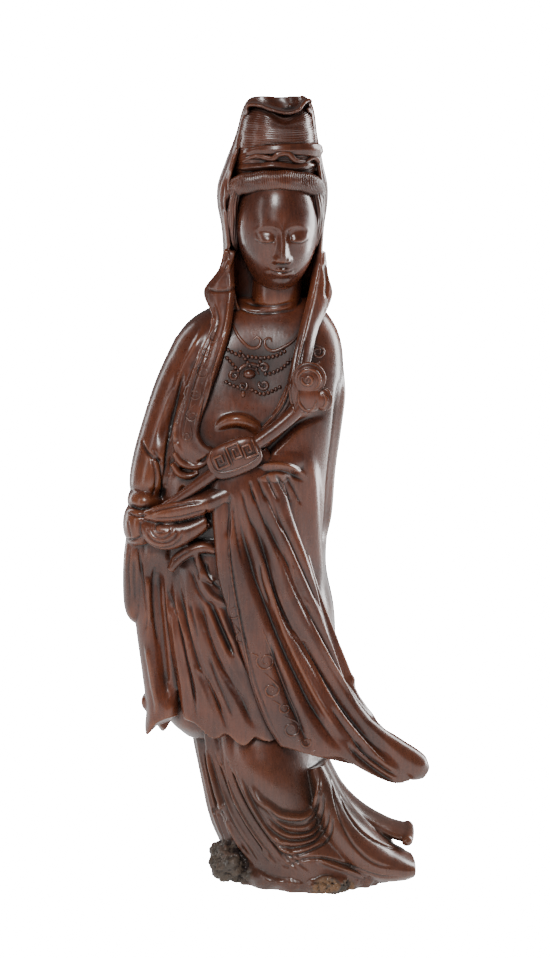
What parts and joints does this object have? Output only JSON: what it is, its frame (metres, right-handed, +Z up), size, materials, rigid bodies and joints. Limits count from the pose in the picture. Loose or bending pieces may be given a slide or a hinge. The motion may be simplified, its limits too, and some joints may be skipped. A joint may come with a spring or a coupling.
{
  "type": "guanyin figure",
  "caption": "Standing carved wooden figure in a long robe, with a veil over a high chignon, a ruyi sceptre and a wide flying sleeve.",
  "frame": {"origin": "middle of the underside, below the centre of the figure's box", "axes": "+Z up through the head; the figure faces -Y; +X is to the right for someone who looks at its front, towards the flying sleeve and the skirt's train"},
  "size_m": [0.1172, 0.065, 0.3],
  "materials": {
    "carved_wood": "polished, dark in the recesses and orange-brown on the worn ridges"
  },
  "bodies": {
    "root": {"guanyin_figure": "carved_wood"}
  },
  "joints": []
}
